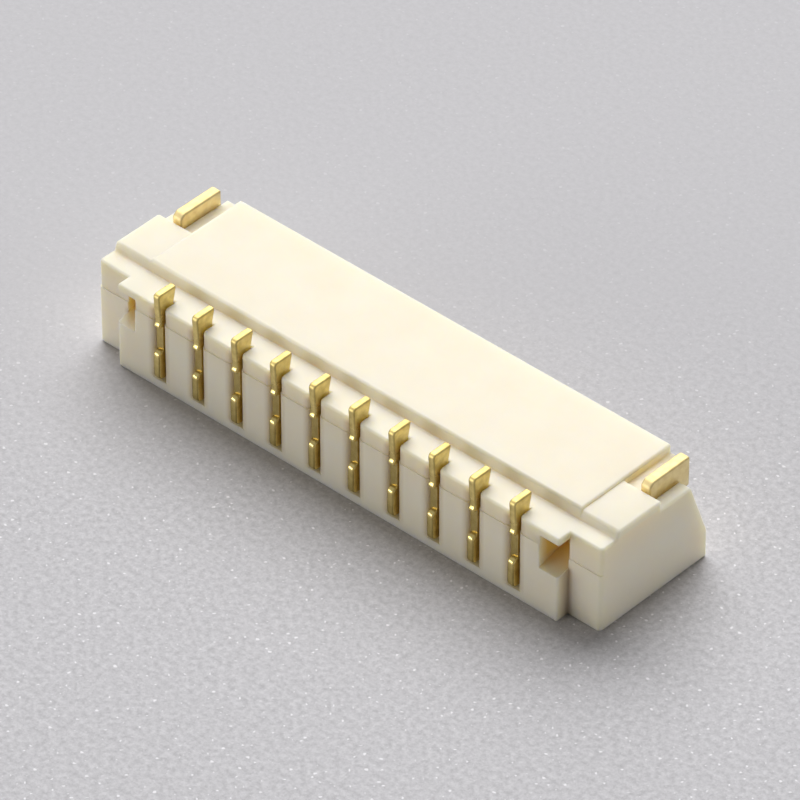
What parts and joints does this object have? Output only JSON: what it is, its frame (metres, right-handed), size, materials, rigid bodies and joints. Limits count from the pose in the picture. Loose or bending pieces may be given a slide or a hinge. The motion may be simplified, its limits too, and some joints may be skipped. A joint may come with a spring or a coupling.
{
  "type": "insulation displacement connector header",
  "caption": "Surface-mount side-entry header of an insulation displacement connector: ivory shrouded housing, one row of stamped gold contacts, a solder tab at each end.",
  "frame": {"origin": "middle of the footprint, on the flat pick-up face that the part lies on", "axes": "+X along the row of contacts, +Y out of the mating mouth, +Z out of the board face that the solder tails stand on"},
  "size_m": [0.0102, 0.0028, 0.0018],
  "materials": {
    "ivory_plastic": "satin moulded",
    "contact_gold": "gold plated",
    "tab_gold": "gold plated"
  },
  "bodies": {
    "root": {"housing": "ivory_plastic", "contact_1": "contact_gold", "contact_2": "contact_gold", "contact_3": "contact_gold", "contact_4": "contact_gold", "contact_5": "contact_gold", "contact_6": "contact_gold", "contact_7": "contact_gold", "contact_8": "contact_gold", "contact_9": "contact_gold", "contact_10": "contact_gold", "solder_tab_left": "tab_gold", "solder_tab_right": "tab_gold"}
  },
  "joints": []
}
